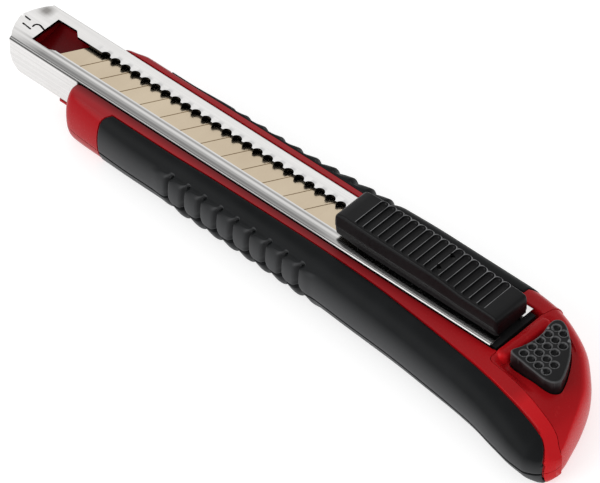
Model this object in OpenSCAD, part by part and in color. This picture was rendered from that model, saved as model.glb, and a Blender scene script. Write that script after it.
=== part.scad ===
// Snap-off utility knife: steel blade channel in a two-part handle, ribbed slider, push-button end cap.
// Lengths are in millimetres. Stations along X count from the nose; heights count down from the lips.

/* [Overall] */
// Height of the channel lips above the flat back of the handle
body_depth = 12; // [10:0.5:16]
// Station that sits over the origin
origin_station = 70; // [60:1:80]

/* [Blade channel] */
// Outside width of the steel channel
channel_w = 12; // [11:0.1:13]
// Outside depth of the steel channel
channel_h = 7.2; // [6:0.1:8]
// Sheet thickness
sheet_t = 0.55; // [0.4:0.05:0.8]
// Front of the nose, ahead of station zero
nose_lead = 0.9; // [0:0.1:2]
// Station where the channel ends
channel_end = 117.2; // [110:0.1:118]
// Slot edge on the finger side
slot_near = 2.93; // [2:0.01:3.5]
// Slot edge on the thumb side
slot_far = 2.45; // [2:0.01:3.5]
// Distance between locking notches
notch_pitch = 2.5; // [2:0.1:3]
// Radius of one locking notch
notch_r = 1.05; // [0.8:0.05:1.2]

/* [Blade] */
// Blade width
blade_w = 9; // [9:1:9]
// Blade thickness
blade_t = 0.38; // [0.3:0.01:0.5]
// Blade length
blade_len = 80.5; // [70:0.5:90]
// Distance between score lines
segment_pitch = 5; // [4:0.5:6]
// Slope of the score lines in degrees
score_angle = 30; // [20:1:45]
// Number of score lines
score_count = 12; // [8:1:14]

/* [Slider] */
// Front of the ribbed pad
pad_front = 79.5; // [75:0.5:85]
// Length of the ribbed pad
pad_len = 37.9; // [30:0.1:42]
// Half width of the ribbed pad
pad_half = 4.15; // [3:0.05:5]
// Height of the pad top over the lips
pad_top = 5.9; // [4:0.1:7]
// Number of grooves between ribs
rib_count = 17; // [10:1:20]
// Rib pitch
rib_pitch = 1.75; // [1.4:0.05:2.2]
// Travel of the slider towards the nose
slider_travel = 60; // [40:2.5:60]

/* [Handle] */
// Depth of the joint line between the two handle halves
seam_depth = 8.3; // [7.5:0.1:9]
// Rubber thickness measured sideways
grip_t = 1; // [0.8:0.1:1.4]
// Number of finger grooves in the rubber
groove_count = 9; // [5:1:9]
// Distance between finger grooves
groove_pitch = 4; // [3:0.1:5]

/* [End cap] */
// Press travel of the release button
press_travel = 1.3; // [0.8:0.1:1.3]
// Gap between the cap and the handle
cap_gap = 0.15; // [0.1:0.05:0.3]

/* [Hidden] */

eps = 0.01;
running = 0.05;
round_fn = 48;
red = [0.68, 0.05, 0.06];
black = [0.1, 0.1, 0.11];
rubber = [0.14, 0.15, 0.16];
steel = [0.78, 0.78, 0.79];
tan_steel = [0.78, 0.71, 0.6];

// Greatest half widths of the handle on the finger and thumb sides, by station.
finger_width = [[18.6, 8.4], [19.1, 9.4], [20, 10], [21.6, 10.3], [28, 10.8], [36, 11.2], [50, 11.3],
    [62, 11.5], [76, 11.9], [91, 12.9], [101, 13.6], [111, 14.7], [116, 15.3], [122, 16.2],
    [128, 17.6], [133, 18.5], [135.5, 18.6], [137.4, 17.9], [138.6, 16.9], [139.3, 15.9],
    [139.8, 14.6]];
thumb_width = [[18.6, 6.9], [19.1, 7.4], [20, 7.9], [21.6, 8.3], [24, 8.9], [34, 9], [43, 9.5],
    [62, 10], [71, 10.7], [82, 11.2], [94, 11.6], [112, 11.6], [119, 11], [121.3, 10.4],
    [124.4, 9.2], [128.9, 6.8], [131.8, 4.2], [134.8, 0.6], [136.7, -3.6], [137.9, -7.2],
    [139, -10.8], [139.8, -14.4]];
top_line = [[18.6, -1.2], [19.2, -0.5], [20.4, -0.15], [22, -0.1], [117, -0.1], [122, -0.3],
    [128, -0.8], [133, -1.8], [136, -3], [138, -4.5], [139.8, -6.4]];
bottom_line = [[18.6, -11.3], [19.6, -11.8], [20.6, -12], [136, -12], [138.4, -11.6], [139.8, -10.4]];
finger_round = [[18.6, 2.4], [21, 2.6], [36, 3.9], [92, 4.2], [122, 4.9], [135, 5.1], [139.8, 0.8]];
thumb_round = [[18.6, 1.8], [21, 2.2], [34, 2.6], [62, 3], [119, 3.6], [133, 3.6], [137, 2.4],
    [139.8, 0.8]];
side_power = 2.2;

stations = [18.6, 19.1, 20, 21.6, 24, 28.4, 28.6, 36, 43, 50, 56, 62, 70, 76, 84, 91, 96, 101, 106,
    111, 113.9, 114.1, 118, 119, 121.3, 124.4, 128, 131, 133.2, 135.1, 136.7, 137.4, 137.9, 138.6,
    139.2, 139.8];
grip_finger_from = 28.5;
grip_finger_to = 138.4;
grip_thumb_from = 28.5;
grip_thumb_to = 114;
ledge = 0.8;
grip_gap = 0.06;
end_gap = 0.15;
front_levels = [0, 0.25, 0.6, 1.1, 1.8, 2.8, 4.2, 6];
back_levels = [0, 1, 2, 2.7, 3.2, 3.5, 3.7];

finger_groove_from = 45.8;
thumb_groove_from = 48.3;
thumb_groove_stretch = 1.03;
groove_r = 1.1;
groove_out = 0.55;

pocket_half = channel_w / 2 + 0.1;
pocket_floor = -channel_h - 0.1;
channel_inner = channel_w / 2 - sheet_t;
lip_under = -sheet_t;
blade_top = -1;
blade_under = blade_top - blade_t;
rail_top = blade_under - 0.04;
bed_half = channel_inner - 0.08;
bed_floor = -channel_h + sheet_t + 0.05;
groove_half = 3.3;
groove_floor = -4.4;
keel_front = 84;
bed_front = 1.8;
bed_stop = keel_front - slider_travel - 0.2;
wing_front = 93;
carrier_end = 118.2;
pad_under = 0.85;
pin_x = 102;
pin_y = 1.8;
pin_r = 0.4;
stud_x = 88;
stud_r = 1.3;
notch_first = 18;
notch_depth = 0.78;
notch_total = 40;
tooth_x = notch_first + 38 * notch_pitch;
leaf_start = 104.6;
valley_r = 1.08;
valley_lift = 0.62;
valley_half = 2.95;
screw_stations = [26, 62, 98];
screw_r = 0.9;
hollow_floor = -11.1;
button_tilt = 2.5;
button_edge = [121.3, 0, 1.7];
dimple_r = 0.78;
dimple_pitch = 2.08;
lip_half = 5.2;
spring_x = 126.6;
spring_y = -0.6;
spring_r = 1.7;
spring_wire = 0.25;
deck_under = -3.7;
latch_tip = 112;
latch_level = -9.3;

// Outline of the cap seen from above: seam along the finger side, then round the tail.
cap_seam = [[119, -8.5], [126, -9.2], [133.3, -10.6], [137.4, -11.6], [138.5, -12.4], [140.5, -13.2],
    [146, -13.2], [146, 16], [120.2, 16], [120.2, 8], [119, 6.6]];
// Outline of the button seen from above.
button_outline = [[121.8, -5.7], [122.5, -3.3], [123, -1], [123, 1.4], [122.5, 3.6], [122.6, 5],
    [123.5, 5.75], [124.9, 5.4], [126.8, 4], [128.4, 2.5], [129.9, 0.6], [131.2, -1.6], [132.1, -3.6],
    [132.5, -5.2], [131.8, -6.3], [130.2, -6.75], [127.7, -6.6], [124.9, -6.35]];

module place() {
    translate([-origin_station, 0, body_depth]) children();
}

module along_x(from, to) {
    translate([from, 0, 0]) rotate([90, 0, 90]) linear_extrude(height = to - from) children();
}

module box(from, to) {
    translate(from) cube(to - from);
}

module post(x, y, low, high, r) {
    translate([x, y, low]) cylinder(h = high - low, r = r, $fn = round_fn);
}

// One side of the handle: half width at height z.
function bulge(x, z, w, a) =
    let (top = lookup(x, top_line), low = lookup(x, bottom_line))
    let (mid = (top + low) / 2, half = (top - low) / 2)
    let (s = min(1, abs(z - mid) / half))
    w - a + a * pow(1 - pow(s, side_power), 1 / side_power);

function finger_y(x, z) = bulge(x, z, lookup(x, finger_width), lookup(x, finger_round));
function thumb_y(x, z) = bulge(x, z, lookup(x, thumb_width), lookup(x, thumb_round));

function in_finger(x) = x > grip_finger_from && x < grip_finger_to;
function in_thumb(x) = x > grip_thumb_from && x < grip_thumb_to;

function front_z(x, k) =
    let (top = lookup(x, top_line), reach = top + seam_depth, last = len(front_levels) - 1)
    top - reach * front_levels[k] / front_levels[last];

function back_z(x, k) =
    let (low = lookup(x, bottom_line), last = len(back_levels) - 1)
    -seam_depth + (low + seam_depth) * back_levels[k] / back_levels[last];

// Core of the front half steps in below the second level to seat the rubber.
function core_y(x, z, k, finger) =
    let (inset = finger ? in_finger(x) : in_thumb(x))
    let (lift = inset && k > 1 ? ledge + grip_gap : 0, thick = inset && k > 1 ? grip_t + grip_gap : 0)
    (finger ? finger_y(x, z + lift) : thumb_y(x, z + lift)) - thick;

function front_ring(x) = concat(
    [for (k = [len(front_levels) - 1 : -1 : 0]) [x, -core_y(x, front_z(x, k), k, true), front_z(x, k)]],
    [for (k = [0 : len(front_levels) - 1]) [x, core_y(x, front_z(x, k), k, false), front_z(x, k)]]);

// Core of the back half; the rubber there ends above the flat back.
function under_y(x, z, finger) =
    let (inset = finger ? in_finger(x) : in_thumb(x))
    let (drop = inset ? ledge + grip_gap : 0, thick = inset ? grip_t + grip_gap : 0)
    let (level = max(z - drop, lookup(x, bottom_line)))
    (finger ? finger_y(x, level) : thumb_y(x, level)) - thick;

function back_ring(x) = concat(
    [for (k = [len(back_levels) - 1 : -1 : 0]) [x, -under_y(x, back_z(x, k), true), back_z(x, k)]],
    [for (k = [0 : len(back_levels) - 1]) [x, under_y(x, back_z(x, k), false), back_z(x, k)]]);

function full_ring(x) =
    let (top = lookup(x, top_line), low = lookup(x, bottom_line), steps = 14)
    let (heights = [for (k = [0 : steps]) low + (top - low) * (1 - cos(180 * k / steps)) / 2])
    concat([for (z = heights) [x, -finger_y(x, z), z]],
        [for (k = [steps : -1 : 0]) [x, thumb_y(x, heights[k]), heights[k]]]);

function grip_z(x, k, steps, front) =
    let (high = front ? front_z(x, 1) - grip_gap : -seam_depth - grip_gap)
    let (low = front ? -seam_depth + grip_gap : lookup(x, bottom_line) + 0.5)
    high + (low - high) * k / steps;

function grip_ring(x, side, front) =
    let (steps = 7, lift = front ? ledge : -ledge)
    let (outer = [for (k = [0 : steps]) let (z = grip_z(x, k, steps, front))
        [x, side < 0 ? -finger_y(x, z) : thumb_y(x, z), z]])
    let (inner = [for (k = [steps : -1 : 0]) let (z = grip_z(x, k, steps, front))
        let (zin = front ? z - ledge * (1 - k / steps) : z)
        let (level = front ? min(zin + lift, front_z(x, 1)) : max(zin + lift, lookup(x, bottom_line)))
        [x, side < 0 ? grip_t - finger_y(x, level) : thumb_y(x, level) - grip_t, zin]])
    concat(outer, inner);

// Skin through a list of closed rings that all have the same number of points.
module loft(rings) {
    n = len(rings[0]);
    m = len(rings);
    walls = [for (i = [0 : m - 2]) for (j = [0 : n - 1])
        let (a = i * n + j, b = i * n + (j + 1) % n)
        each [[a, b, a + n], [b, b + n, a + n]]];
    ends = [[for (j = [n - 1 : -1 : 0]) j], [for (j = [0 : n - 1]) (m - 1) * n + j]];
    polyhedron(points = [for (r = rings) each r], faces = concat(walls, ends));
}

module cap_region(shift) {
    translate([shift, shift, -body_depth - 1]) linear_extrude(height = body_depth + 4) polygon(cap_seam);
}

module button_prism(grow, low, high) {
    middle = [127, -1.6, 0];
    translate([middle[0], middle[1], low]) linear_extrude(height = high - low) scale(1 + grow / 6)
        translate([-middle[0], -middle[1]]) polygon(button_outline);
}

module screw_holes(low, high, r) {
    for (x = screw_stations) post(x, 0, low, high, r);
}

module handle_front() color(red) place() {
    difference() {
        union() {
            loft([for (x = stations) front_ring(x)]);
            box([13.8, -lip_half, -seam_depth + 0.05], [20, lip_half, pocket_floor]);
        }
        along_x(12, 119) polygon([[-pocket_half, pocket_floor], [pocket_half, pocket_floor],
            [pocket_half, -1.3], [7, -0.4], [7.4, 0.2], [-7.4, 0.2], [-7, -0.4], [-pocket_half, -1.3]]);
        cap_region(0);
        screw_holes(-seam_depth - 1, pocket_floor + 1, screw_r + running);
        box([latch_tip - 0.4, -2.2, -seam_depth - 1], [latch_tip + 1.6, 2.2, pocket_floor + 1]);
    }
}

module handle_back() color(red) place() {
    difference() {
        loft([for (x = stations) back_ring(x)]);
        difference() {
            box([22, -6, hollow_floor], [121, 6, -seam_depth + 1]);
            for (x = screw_stations) post(x, 0, hollow_floor - 1, -seam_depth + 2, 2.6);
        }
        cap_region(0);
        screw_holes(-body_depth - 1, 0, screw_r + running);
        for (x = screw_stations) post(x, 0, -body_depth - 1, -body_depth + 1.3, 1.9);
    }
}

module finger_grooves(low, high) {
    for (k = [0 : groove_count - 1]) {
        x = finger_groove_from + groove_pitch * k;
        post(x, -lookup(x, finger_width) - groove_out, low, high, groove_r);
    }
}

module thumb_grooves(low, high) {
    for (k = [0 : groove_count - 1]) {
        x = thumb_groove_from + groove_pitch * thumb_groove_stretch * k;
        post(x, lookup(x, thumb_width) + groove_out, low, high, groove_r);
    }
}

function span(from, to) = concat([from], [for (x = stations) if (x > from + 0.3 && x < to - 0.3) x], [to]);

module grip_finger() color(rubber) place() {
    difference() {
        loft([for (x = span(grip_finger_from + end_gap, grip_finger_to - end_gap)) grip_ring(x, -1, true)]);
        finger_grooves(-seam_depth - 1, -2.4);
    }
}

module grip_thumb() color(rubber) place() {
    difference() {
        loft([for (x = span(grip_thumb_from + end_gap, grip_thumb_to - end_gap)) grip_ring(x, 1, true)]);
        thumb_grooves(-seam_depth - 1, -1.2);
    }
}

module grip_finger_back() color(rubber) place() {
    difference() {
        loft([for (x = span(grip_finger_from + end_gap, grip_finger_to - end_gap)) grip_ring(x, -1, false)]);
        finger_grooves(-10, -seam_depth + 1);
    }
}

module grip_thumb_back() color(rubber) place() {
    difference() {
        loft([for (x = span(grip_thumb_from + end_gap, grip_thumb_to - end_gap)) grip_ring(x, 1, false)]);
        thumb_grooves(-10, -seam_depth + 1);
    }
}

module channel_section(half, top, low, corner) {
    translate([-half, low]) square([half * 2, top - low - corner]);
    translate([-half + corner, low]) square([(half - corner) * 2, top - low]);
    for (s = [-1, 1]) translate([s * (half - corner), top - corner]) circle(r = corner, $fn = round_fn);
}

// Narrow cut through the upper sheet along a line of points.
module slit(points) {
    half = 0.19;
    translate([0, 0, lip_under - 0.1]) linear_extrude(height = 1) {
        for (p = points) translate(p) circle(r = half, $fn = 16);
        for (i = [0 : len(points) - 2]) {
            step = points[i + 1] - points[i];
            translate(points[i]) rotate(atan2(step[1], step[0])) translate([0, -half])
                square([norm(step), half * 2]);
        }
    }
}

module blade_channel() color(steel) place() {
    difference() {
        along_x(-nose_lead, channel_end) channel_section(channel_w / 2, 0, -channel_h, 0.5);
        along_x(-nose_lead - 1, channel_end + 1)
            channel_section(channel_inner, lip_under, -channel_h + sheet_t, 0.1);
        // Slot between the lips, window behind the nose.
        box([9.6, -slot_near, -2], [channel_end + 1, slot_far, 1]);
        translate([0, 0, -2]) linear_extrude(height = 3)
            polygon([[5, -3.5], [9.2, -3.5], [10.4, -slot_near], [10.9, slot_far], [9.6, 3.6], [5, 3.5]]);
        for (k = [0 : notch_total - 1])
            post(notch_first + notch_pitch * k, slot_far - notch_r + notch_depth, -2, 1, notch_r);
        // Rounded lower front corners and tapered nose tip.
        translate([0, -channel_w, 0]) rotate([-90, 0, 0]) linear_extrude(height = channel_w * 2)
            polygon([[-2, 2], [1.45, 2], [1.5, 3.6], [2.2, 5.7], [3.4, 7], [4.4, 7.25], [4.4, 9], [-2, 9]]);
        for (s = [-1, 1]) translate([0, 0, -10]) linear_extrude(height = 11)
            polygon([[-2, s * 0.6], [-0.9, s * 0.6], [-0.2, s * 2.6], [0.8, s * 4.4], [1.6, s * 5.4],
                [1.7, s * 6.5], [-2, s * 6.5]]);
        // Interlocked joint of the folded sheet.
        slit([[-2, 0.05], [0.3, -0.02], [1.2, -0.1]]);
        slit([[0.9, -1.6], [1.9, -1.72], [2.9, -1.8]]);
        slit([[2.8, -1], [2.75, -0.5], [2.95, -0.15], [3.35, 0.05], [3.8, 0.05], [4.4, -0.15], [5.2, -0.35]]);
        screw_holes(-channel_h - 1, -channel_h + 2, screw_r + running);
    }
}

module channel_bed() color(red) place() {
    difference() {
        along_x(bed_front, channel_end - 0.4) polygon([[-bed_half, bed_floor], [bed_half, bed_floor],
            [bed_half, rail_top], [-bed_half, rail_top]]);
        box([bed_stop, -groove_half, groove_floor], [channel_end, groove_half, 0]);
        // Front slopes back under the nose; a long hollow keeps the blade off the bed.
        translate([0, -channel_w, 0]) rotate([-90, 0, 0]) linear_extrude(height = channel_w * 2)
            polygon([[-2, 2.3], [bed_front + 0.3, 2.3], [5, 6.4], [5, 9], [-2, 9]]);
        along_x(bed_front + 2.8, bed_stop) translate([0, 5.2]) circle(r = 8, $fn = 96);
        screw_holes(bed_floor - 1, groove_floor - 0.4, screw_r + running);
    }
}

module body_screws() color(steel) place() {
    for (x = screw_stations) {
        difference() {
            union() {
                post(x, 0, -body_depth + 0.3, groove_floor - 0.5, screw_r);
                post(x, 0, -body_depth + 0.3, -body_depth + 1.25, 1.75);
            }
            box([x - 1.3, -0.2, -body_depth], [x + 1.3, 0.2, -body_depth + 0.7]);
            box([x - 0.2, -1.3, -body_depth], [x + 0.2, 1.3, -body_depth + 0.7]);
        }
    }
}

module blade() color(tan_steel) place() {
    slope = tan(score_angle);
    tip = 12.1;
    half = blade_w / 2;
    difference() {
        translate([0, 0, blade_under]) linear_extrude(height = blade_t) polygon([
            [tip - half * slope, -half], [tip + blade_len, -half], [tip + blade_len, half],
            [tip + half * slope, half]]);
        for (k = [1 : score_count]) translate([tip + segment_pitch * k, 0, blade_top])
            rotate([0, 0, -score_angle]) box([-0.12, -half * 1.5, -0.1], [0.12, half * 1.5, 1]);
        // Ground edge on both faces.
        for (s = [0, 1]) translate([0, -half, blade_under + blade_t / 2]) mirror([0, 0, s])
            along_x(0, 100) polygon([[-0.5, 0.02], [0.02, 0.02], [0.9, blade_t / 2], [0.9, 1], [-0.5, 1]]);
        post(stud_x, 0, blade_under - 1, blade_top + 1, stud_r + 0.1);
    }
}

module blade_carrier() color(black) place() {
    difference() {
        union() {
            box([wing_front, -bed_half + 0.1, rail_top + 0.06],
                [carrier_end, bed_half - 0.1, lip_under - 0.12]);
            box([keel_front, -groove_half + 0.12, groove_floor + 0.12],
                [carrier_end, groove_half - 0.12, -1.9]);
            box([wing_front, -groove_half + 0.12, -2], [carrier_end, groove_half - 0.12, lip_under - 0.2]);
            box([wing_front + 1, -2.7, lip_under - 0.3], [116, 2.2, pad_under - 0.02]);
        }
        // Pocket for the locking leaf and holes for the two pins.
        box([104.4, 1.1, lip_under - 0.1], [117, 3, pad_under + 1]);
        for (s = [-1, 1]) post(pin_x, s * pin_y, -3.6, pad_under + 1, pin_r + running);
        post(stud_x, 0, -3.5, 0, stud_r + 0.05);
    }
}

module blade_holder() color(steel) place() {
    difference() {
        translate([0, 0, -1.84]) linear_extrude(height = 0.4) polygon([[84.4, -2], [85.4, -3], [92.6, -3],
            [92.6, 3], [85.4, 3], [84.4, 2]]);
        post(stud_x, 0, -3, 0, stud_r + 0.03);
    }
}

module blade_pin() color(steel) place() {
    post(stud_x, 0, -3.4, blade_top + 0.15, stud_r);
}

module slider_pad() color(black) place() {
    end = pad_front + pad_len;
    difference() {
        translate([0, pad_half, 0]) rotate([90, 0, 0]) linear_extrude(height = pad_half * 2) polygon([
            [pad_front + 0.5, pad_under], [end - 1.2, pad_under], [end - 0.2, pad_under + 0.8],
            [end, 3.2], [end - 0.5, 4.3], [end - 2, 4.9], [end - 7, 5], [end - 12, 5.6],
            [end - 16, pad_top], [pad_front + 2.6, pad_top], [pad_front + 1, pad_top - 0.4],
            [pad_front + 0.2, pad_top - 1.4], [pad_front, 3.2]]);
        // Round-ended valleys between the ribs follow the falling top.
        for (k = [0 : rib_count - 1]) {
            x = pad_front + 5.5 + rib_pitch * k;
            top = lookup(x, [[pad_front, pad_top], [end - 16, pad_top], [end - 12, 5.6], [end - 7, 5],
                [end, 4.9]]);
            translate([x, 0, top + valley_lift]) {
                rotate([90, 0, 0]) cylinder(h = valley_half * 2, r = valley_r, center = true, $fn = round_fn);
                for (s = [-1, 1]) translate([0, s * valley_half, 0]) sphere(r = valley_r, $fn = 24);
            }
        }
        // Softened long edges.
        for (s = [-1, 1]) translate([0, s * (pad_half + 0.1), pad_top + 0.1]) rotate([s * 45, 0, 0])
            box([pad_front - 2, -0.45, -0.45], [end + 2, 0.45, 0.45]);
        for (s = [-1, 1]) post(pin_x, s * pin_y, 0, pad_top + 1, pin_r + running);
    }
}

module lock_spring() color(steel) place() {
    gauge = 0.25;
    translate([0, 0, lip_under - 0.05]) linear_extrude(height = 1.2) polygon([
        [leaf_start, 1.2], [leaf_start + 0.5, 1.2], [leaf_start + 0.5, 1.75 - gauge],
        [tooth_x - 1.1, 2.1 - gauge], [tooth_x - 0.4, 2.45], [tooth_x + 0.3, 2.45],
        [tooth_x + 1, 2.1 - gauge], [tooth_x + 2, 1.9 - gauge], [tooth_x + 2, 1.9],
        [tooth_x + 1.2, 2.1], [tooth_x + 0.4, 2.75], [tooth_x - 0.5, 2.75], [tooth_x - 1.2, 2.1],
        [leaf_start, 1.75]]);
}

module slider_pins() color(steel) place() {
    for (s = [-1, 1]) post(pin_x, s * pin_y, -3.5, 5, pin_r);
}

module end_cap() color(red) place() {
    difference() {
        union() {
            intersection() {
                loft([for (x = stations) if (x > 117.9) full_ring(x)]);
                cap_region(cap_gap);
            }
            // Rounded ridge that closes the end of the channel.
            translate([120.5, -5.2, -1.1]) rotate([-90, 0, 3]) cylinder(h = 9.6, r = 1.25, $fn = round_fn);
            // Tongues that guide the cap in the handle.
            for (s = [-1, 1]) box([106, s < 0 ? -5.7 : 3.5, hollow_floor + 0.15],
                [122, s < 0 ? -3.5 : 5.7, -seam_depth - 0.15]);
        }
        button_prism(0.2, -6, 5);
        // Room for the button, its spring and the latch.
        button_prism(0.95, -body_depth - 1, deck_under);
        box([117, -3.4, -body_depth - 1], [123, 3.4, -seam_depth - 0.15]);
        // Scoop beside the button.
        translate([121.2, -7.3, 2.1]) rotate([0, 90, -9]) cylinder(h = 11.5, r = 3.3, $fn = round_fn);
    }
}

module cap_floor() color(red) place() {
    difference() {
        union() {
            button_prism(0.8, -body_depth, hollow_floor - 0.05);
            box([119.2, -3.25, -body_depth], [124, 3.25, hollow_floor - 0.05]);
        }
        post(spring_x, spring_y, -body_depth + 0.4, 0, 2.3);
    }
}

module dimples() {
    rows = [[123.85, -4.6, 5], [125.6, -4.8, 5], [127.45, -5, 4], [129.3, -5.15, 2]];
    for (r = rows) for (k = [0 : r[2] - 1])
        translate([r[0] + 0.06 * k, r[1] + dimple_pitch * k,
            button_edge[2] - tan(button_tilt) * (r[0] - button_edge[0])]) sphere(r = dimple_r, $fn = 24);
}

module cap_button() color(black) place() {
    difference() {
        union() {
            button_prism(0, -6, 3);
            button_prism(0.55, hollow_floor + press_travel + 0.8, deck_under - 0.1);
        }
        translate(button_edge) rotate([0, button_tilt, 0]) box([-6, -20, 0], [30, 20, 10]);
        dimples();
        post(spring_x, spring_y, -10, -5.2, 2.3);
        box([118, -2.2, -10], [124.2, 2.2, latch_level + 0.3]);
    }
}

// Coil: round wire swept along a helix.
module button_spring() color(steel) place() {
    low = -body_depth + 0.5;
    high = -5.3;
    turns = 5;
    steps = 16 * turns;
    sides = 6;
    rise = high - low - spring_wire * 2;
    loft([for (i = [0 : steps])
        let (a = 360 * turns * i / steps, z = low + spring_wire + rise * i / steps)
        [for (j = [0 : sides - 1])
            let (b = 360 * j / sides, r = spring_r + spring_wire * cos(b))
            [spring_x + r * cos(a), spring_y + r * sin(a), z + spring_wire * sin(b)]]]);
}

module cap_latch() color(steel) place() {
    foot = 123.6;
    gauge = 0.25;
    translate([0, 1.8, 0]) rotate([90, 0, 0]) linear_extrude(height = 3.6) polygon([
        [latch_tip, -7.5], [latch_tip, latch_level - gauge], [foot - gauge, latch_level - gauge],
        [foot - gauge, hollow_floor], [foot, hollow_floor], [foot, latch_level],
        [latch_tip + gauge, latch_level], [latch_tip + gauge, -7.5]]);
}

handle_front();
handle_back();
grip_finger();
grip_finger_back();
grip_thumb();
grip_thumb_back();
blade_channel();
channel_bed();
body_screws();
blade();
blade_carrier();
blade_holder();
blade_pin();
slider_pad();
lock_spring();
slider_pins();
end_cap();
cap_floor();
cap_button();
button_spring();
cap_latch();
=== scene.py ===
"""Looks of the snap-off utility knife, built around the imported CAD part."""

import math

import bmesh
import bpy
import numpy as np
from mathutils import Matrix, Vector
from mathutils.geometry import delaunay_2d_cdt


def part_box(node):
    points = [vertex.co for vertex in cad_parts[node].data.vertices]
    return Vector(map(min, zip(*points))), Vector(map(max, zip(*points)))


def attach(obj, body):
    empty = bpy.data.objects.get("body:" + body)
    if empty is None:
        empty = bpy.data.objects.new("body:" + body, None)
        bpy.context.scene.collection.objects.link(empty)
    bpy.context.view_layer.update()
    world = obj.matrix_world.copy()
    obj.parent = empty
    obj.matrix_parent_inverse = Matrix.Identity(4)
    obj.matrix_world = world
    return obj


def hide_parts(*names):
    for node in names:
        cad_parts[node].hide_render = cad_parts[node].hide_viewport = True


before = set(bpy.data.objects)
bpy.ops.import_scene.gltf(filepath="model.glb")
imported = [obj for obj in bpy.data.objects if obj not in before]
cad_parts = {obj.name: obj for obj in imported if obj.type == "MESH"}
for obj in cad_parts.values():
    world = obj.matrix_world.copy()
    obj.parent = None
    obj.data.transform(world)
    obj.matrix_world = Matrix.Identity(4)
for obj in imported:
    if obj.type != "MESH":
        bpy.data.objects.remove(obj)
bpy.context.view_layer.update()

MM = 0.001
NOSE_LEAD = 0.9  # the channel starts this far ahead of x = 0
channel_low, channel_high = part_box("blade_channel")
ORIGIN = np.array([channel_low.x / MM + NOSE_LEAD, 0.0, channel_high.z / MM])

# Lengths below are millimetres from ORIGIN: x runs to the tail, y to the thumb side, and z is 0
# on top of the steel lips.
CUT_LOW, CUT_HIGH = -14, 4  # a cutter between these heights passes right through the handle
RIB_FIRST, RIB_PITCH, RIBS = 84.1, 1.75, 17  # the valleys in the slider's pad
VALLEY_HALF = 0.9  # half the length of a valley, as a share of half the pitch
FAR_CENTRE, NEAR_CENTRE, END_REACH = 2.9, -2.95, 0.86  # where a valley's round ends are


# ------------ curves

def curve(points):
    """Monotone cubic through (x, y) control points, as a function of arrays."""
    px = np.array([p[0] for p in points], float)
    py = np.array([p[1] for p in points], float)
    step = np.diff(px)
    slope = np.diff(py) / step
    tangent = np.zeros(len(px))
    tangent[0], tangent[-1] = slope[0], slope[-1]
    for i in range(1, len(px) - 1):
        if slope[i - 1] * slope[i] > 0:
            w1, w2 = 2 * step[i] + step[i - 1], step[i] + 2 * step[i - 1]
            tangent[i] = (w1 + w2) / (w1 / slope[i - 1] + w2 / slope[i])

    def value(x):
        x = np.clip(np.asarray(x, float), px[0], px[-1])
        i = np.clip(np.searchsorted(px, x) - 1, 0, len(px) - 2)
        h = step[i]
        t = (x - px[i]) / h
        return (
            py[i] * (1 + 2 * t) * (1 - t) ** 2
            + tangent[i] * h * t * (1 - t) ** 2
            + py[i + 1] * t * t * (3 - 2 * t)
            + tangent[i + 1] * h * t * t * (t - 1)
        )

    return value


def smooth(edge0, edge1, x):
    """Soft step from 0 at edge0 to 1 at edge1."""
    t = np.clip((np.asarray(x, float) - edge0) / (edge1 - edge0), 0, 1)
    return t * t * (3 - 2 * t)


def quarter(t):
    """Drop of a quarter circle: 0 at t = 0, 1 at t = 1."""
    return 1 - np.sqrt(np.clip(1 - t ** 2, 0, 1))


def signed_power(value, power):
    return np.sign(value) * np.abs(value) ** power


# ------------ mesh helpers

def face_outwards(bm):
    bmesh.ops.recalc_face_normals(bm, faces=bm.faces)
    if bm.calc_volume(signed=True) < 0:
        bmesh.ops.reverse_faces(bm, faces=bm.faces)


def add_object(name, data):
    obj = bpy.data.objects.new(name, data)
    bpy.context.scene.collection.objects.link(obj)
    return obj


def plain_object(name, verts, faces):
    """Closed mesh, in millimetres from ORIGIN."""
    mesh = bpy.data.meshes.new(name)
    mesh.from_pydata(np.asarray(verts, float).tolist(), [], [list(map(int, f)) for f in faces])
    bm = bmesh.new()
    bm.from_mesh(mesh)
    face_outwards(bm)
    bm.to_mesh(mesh)
    bm.free()
    return add_object(name, mesh)


def place(obj, look, body, stands_for, angle):
    """Scales and moves a plain object to its place, cleans it and gives it its look and body."""
    obj.data.transform(Matrix.Scale(MM, 4) @ Matrix.Translation(Vector(ORIGIN)))
    bm = bmesh.new()
    bm.from_mesh(obj.data)
    bmesh.ops.remove_doubles(bm, verts=bm.verts, dist=1e-7)
    face_outwards(bm)
    bm.to_mesh(obj.data)
    bm.free()
    shade(obj.data, angle)
    obj.data.materials.clear()
    obj.data.materials.append(look)
    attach(obj, body)
    if stands_for:
        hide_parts(*stands_for)


def shade(mesh, angle):
    """Smooth shading with sharp edges where faces turn by more than angle degrees."""
    bm = bmesh.new()
    bm.from_mesh(mesh)
    limit = math.radians(angle)
    for face in bm.faces:
        face.smooth = True
    for edge in bm.edges:
        edge.smooth = len(edge.link_faces) == 2 and edge.calc_face_angle(0) < limit
    bm.to_mesh(mesh)
    bm.free()


def ring_faces(m, n):
    """Quads between m closed rings of n points."""
    faces = []
    for i in range(m - 1):
        for j in range(n):
            a, b = i * n + j, i * n + (j + 1) % n
            faces.append((a, b, b + n, a + n))
    return faces


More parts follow.
